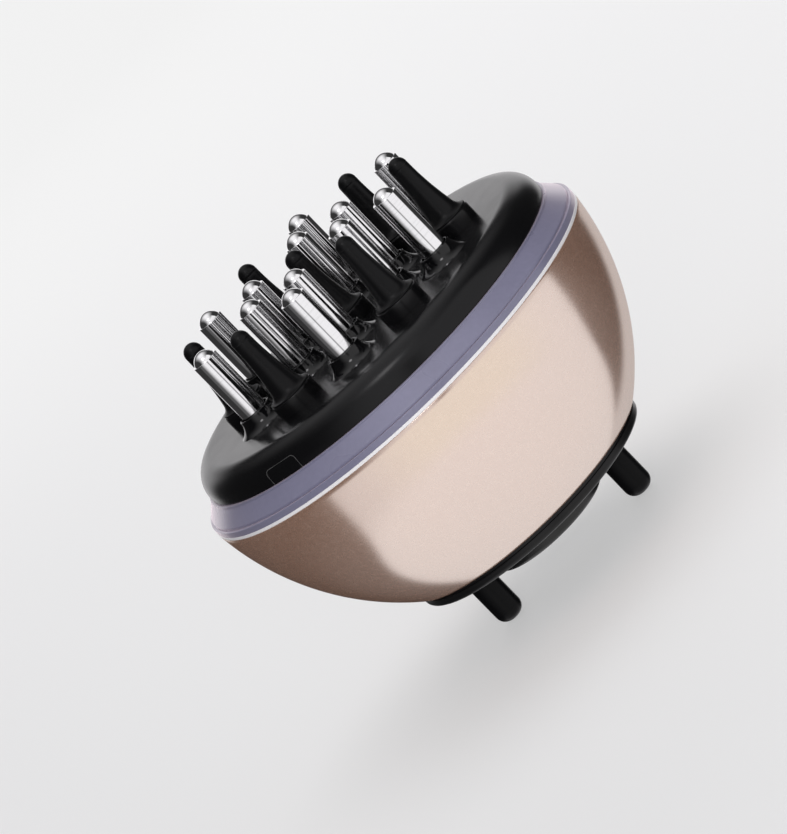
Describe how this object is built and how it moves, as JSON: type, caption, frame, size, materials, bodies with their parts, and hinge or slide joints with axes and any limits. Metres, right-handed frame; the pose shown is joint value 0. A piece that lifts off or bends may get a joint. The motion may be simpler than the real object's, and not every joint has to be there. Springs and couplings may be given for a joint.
{
  "type": "electric scalp massager",
  "caption": "Palm-sized electric scalp massager: a bowl with sprung metal caps and rubber pins on its head, a light ring, and a power button between two finger posts on its base.",
  "frame": {"origin": "on the bowl's axis, in the plane of the finger posts' free ends", "axes": "+Z along the bowl's axis from the base to the pins, X through the two finger posts, the charging port's plug at -132 degrees from +X"},
  "size_m": [0.092, 0.092, 0.0802],
  "materials": {
    "champagne_shell": "champagne pearl lacquer over moulded plastic, fine grain, satin gloss",
    "white_trim": "white moulded plastic, semi-gloss",
    "light_ring": "lavender tinted translucent plastic, satin",
    "black_cover": "black moulded plastic, satin gloss",
    "black_base": "black moulded plastic, satin gloss",
    "black_button": "dark grey-black moulded plastic, satin",
    "black_post": "black moulded plastic, satin gloss",
    "black_plastic": "black moulded plastic, fine matt",
    "pin_rubber": "black silicone rubber, satin",
    "seal_rubber": "black rubber",
    "chrome_cap": "bright chrome plating with fine turning marks",
    "spring_steel": "drawn spring wire",
    "screw_steel": "zinc-plated steel",
    "motor_steel": "pressed, nickel-plated steel",
    "brass": "turned brass",
    "grey_plastic": "grey glass-filled plastic, matt",
    "battery_wrap": "shrink wrap, glossy",
    "circuit_board": "solder-masked board"
  },
  "bodies": {
    "housing": {"body_shell": "champagne_shell", "trim_ring": "white_trim", "light_ring": "light_ring", "head_seal": "seal_rubber", "head_cover": "black_cover", "pin_carrier": "black_plastic", "carrier_screws": "screw_steel", "mid_frame": "grey_plastic", "frame_screws": "screw_steel", "motor_body": "motor_steel", "motor_strap": "motor_steel", "strap_screws": "screw_steel", "battery": "battery_wrap", "led_board": "circuit_board", "charging_socket": "motor_steel", "main_board": "circuit_board", "board_screws": "screw_steel", "tact_switch": "black_plastic", "button_spring": "spring_steel", "button_seal": "seal_rubber", "base_plate": "black_base", "base_screws": "screw_steel", "finger_post_left": "black_post", "finger_post_right": "black_post", "post_screws": "screw_steel", "cap_spring_01": "spring_steel", "cap_spring_02": "spring_steel", "cap_spring_03": "spring_steel", "cap_spring_04": "spring_steel", "cap_spring_05": "spring_steel", "cap_spring_06": "spring_steel", "cap_spring_07": "spring_steel", "cap_spring_08": "spring_steel", "cap_spring_09": "spring_steel", "cap_spring_10": "spring_steel", "cap_spring_11": "spring_steel", "cap_spring_12": "spring_steel", "rubber_pin_1": "pin_rubber", "rubber_pin_2": "pin_rubber", "rubber_pin_3": "pin_rubber", "rubber_pin_4": "pin_rubber", "rubber_pin_5": "pin_rubber", "rubber_pin_6": "pin_rubber", "rubber_pin_7": "pin_rubber"},
    "cap_01": {"cap_01": "chrome_cap"},
    "cap_02": {"cap_02": "chrome_cap"},
    "cap_03": {"cap_03": "chrome_cap"},
    "cap_04": {"cap_04": "chrome_cap"},
    "cap_05": {"cap_05": "chrome_cap"},
    "cap_06": {"cap_06": "chrome_cap"},
    "cap_07": {"cap_07": "chrome_cap"},
    "cap_08": {"cap_08": "chrome_cap"},
    "cap_09": {"cap_09": "chrome_cap"},
    "cap_10": {"cap_10": "chrome_cap"},
    "cap_11": {"cap_11": "chrome_cap"},
    "cap_12": {"cap_12": "chrome_cap"},
    "motor_rotor": {"motor_rotor": "brass"},
    "port_plug": {"port_plug": "black_plastic"},
    "power_button": {"power_button": "black_button"}
  },
  "joints": [
    {"name": "cap_01_press", "type": "slide", "parent": "housing", "child": "cap_01", "axis": [0, 0, -1], "range_m": [0, 0.0015], "stiffness_N_per_m": 300, "springref_m": -0.001, "deforming": ["cap_spring_01"]},
    {"name": "cap_02_press", "type": "slide", "parent": "housing", "child": "cap_02", "axis": [0, 0, -1], "range_m": [0, 0.0015], "stiffness_N_per_m": 300, "springref_m": -0.001, "deforming": ["cap_spring_02"]},
    {"name": "cap_03_press", "type": "slide", "parent": "housing", "child": "cap_03", "axis": [0, 0, -1], "range_m": [0, 0.0015], "stiffness_N_per_m": 300, "springref_m": -0.001, "deforming": ["cap_spring_03"]},
    {"name": "cap_04_press", "type": "slide", "parent": "housing", "child": "cap_04", "axis": [0, 0, -1], "range_m": [0, 0.0015], "stiffness_N_per_m": 300, "springref_m": -0.001, "deforming": ["cap_spring_04"]},
    {"name": "cap_05_press", "type": "slide", "parent": "housing", "child": "cap_05", "axis": [0, 0, -1], "range_m": [0, 0.0015], "stiffness_N_per_m": 300, "springref_m": -0.001, "deforming": ["cap_spring_05"]},
    {"name": "cap_06_press", "type": "slide", "parent": "housing", "child": "cap_06", "axis": [0, 0, -1], "range_m": [0, 0.0015], "stiffness_N_per_m": 300, "springref_m": -0.001, "deforming": ["cap_spring_06"]},
    {"name": "cap_07_press", "type": "slide", "parent": "housing", "child": "cap_07", "axis": [0, 0, -1], "range_m": [0, 0.0015], "stiffness_N_per_m": 300, "springref_m": -0.001, "deforming": ["cap_spring_07"]},
    {"name": "cap_08_press", "type": "slide", "parent": "housing", "child": "cap_08", "axis": [0, 0, -1], "range_m": [0, 0.0015], "stiffness_N_per_m": 300, "springref_m": -0.001, "deforming": ["cap_spring_08"]},
    {"name": "cap_09_press", "type": "slide", "parent": "housing", "child": "cap_09", "axis": [0, 0, -1], "range_m": [0, 0.0015], "stiffness_N_per_m": 300, "springref_m": -0.001, "deforming": ["cap_spring_09"]},
    {"name": "cap_10_press", "type": "slide", "parent": "housing", "child": "cap_10", "axis": [0, 0, -1], "range_m": [0, 0.0015], "stiffness_N_per_m": 300, "springref_m": -0.001, "deforming": ["cap_spring_10"]},
    {"name": "cap_11_press", "type": "slide", "parent": "housing", "child": "cap_11", "axis": [0, 0, -1], "range_m": [0, 0.0015], "stiffness_N_per_m": 300, "springref_m": -0.001, "deforming": ["cap_spring_11"]},
    {"name": "cap_12_press", "type": "slide", "parent": "housing", "child": "cap_12", "axis": [0, 0, -1], "range_m": [0, 0.0015], "stiffness_N_per_m": 300, "springref_m": -0.001, "deforming": ["cap_spring_12"]},
    {"name": "power_button_press", "type": "slide", "parent": "housing", "child": "power_button", "axis": [0, 0, 1], "range_m": [0, 0.001], "stiffness_N_per_m": 500, "springref_m": -0.001, "deforming": ["button_spring"]},
    {"name": "motor_turn", "type": "hinge", "parent": "housing", "child": "motor_rotor", "pos_m": [0, -0.009, 0.0369], "axis": [1, 0, 0], "continuous": true},
    {"name": "port_plug_pull", "type": "slide", "parent": "housing", "child": "port_plug", "axis": [-0.6691, -0.7431, 0], "range_m": [0, 0.006]}
  ]
}
